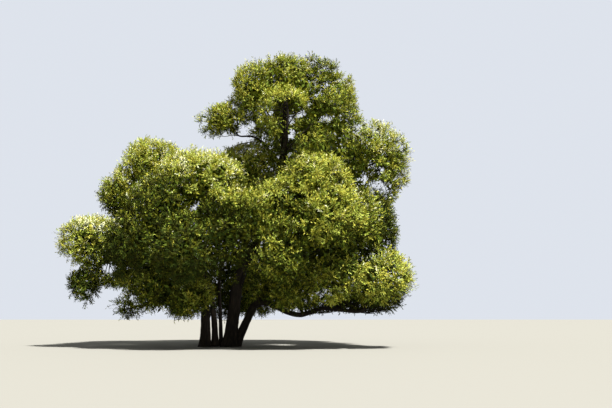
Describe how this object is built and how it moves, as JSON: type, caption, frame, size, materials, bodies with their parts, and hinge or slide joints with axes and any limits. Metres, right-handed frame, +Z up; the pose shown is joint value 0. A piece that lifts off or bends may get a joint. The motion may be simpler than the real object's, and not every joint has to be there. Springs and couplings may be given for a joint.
{
  "type": "broad multi-stemmed willow tree",
  "caption": "Broad, rounded field willow in full leaf: stems that rise from one root, forking boughs, one long low bough, and billowing masses of foliage.",
  "frame": {"origin": "centre of the flat cut under the main stem, at ground level", "axes": "+Z up, +X to the right as seen in the picture, -Y towards the viewer"},
  "size_m": [17.8912, 13.07, 15.0538],
  "materials": {
    "bark": "rough, deeply furrowed, dark grey-brown",
    "foliage": "satin narrow leaves, yellow-green above and paler below"
  },
  "bodies": {
    "root": {"stem_main": "bark", "stem_left": "bark", "stem_inner": "bark", "stem_slim": "bark", "stem_right": "bark", "bough_upper_left": "bark", "bough_top_left": "bark", "bough_top_right": "bark", "bough_right_upper": "bark", "bough_back_upper": "bark", "bough_far_left": "bark", "bough_left_front": "bark", "bough_left_near": "bark", "bough_left_low": "bark", "bough_left_hanging": "bark", "bough_left_lump": "bark", "bough_low_right": "bark", "bough_right_low": "bark", "bough_right_outer": "bark", "bough_right_top": "bark", "bough_back_right": "bark", "bough_back_mid": "bark", "bough_back_left": "bark", "bough_back_low": "bark", "top_centre": "foliage", "top_left": "foliage", "top_right": "foliage", "top_back": "foliage", "top_front": "foliage", "lobe_left": "foliage", "mid_upper": "foliage", "right_upper": "foliage", "centre_back": "foliage", "back_upper": "foliage", "left_back": "foliage", "left_lump": "foliage", "left_top": "foliage", "left_shoulder": "foliage", "far_left": "foliage", "left_front": "foliage", "left_front_low": "foliage", "left_low": "foliage", "left_hang": "foliage", "left_low_front": "foliage", "left_low_spray": "foliage", "left_bottom": "foliage", "centre_front": "foliage", "right_top_front": "foliage", "right_front_left": "foliage", "right_front": "foliage", "right_outer": "foliage", "right_front_low": "foliage", "right_low": "foliage", "right_lobe": "foliage", "right_under": "foliage", "back_left": "foliage", "back_mid": "foliage", "back_right": "foliage", "back_low": "foliage", "back_left_low": "foliage"}
  },
  "joints": []
}
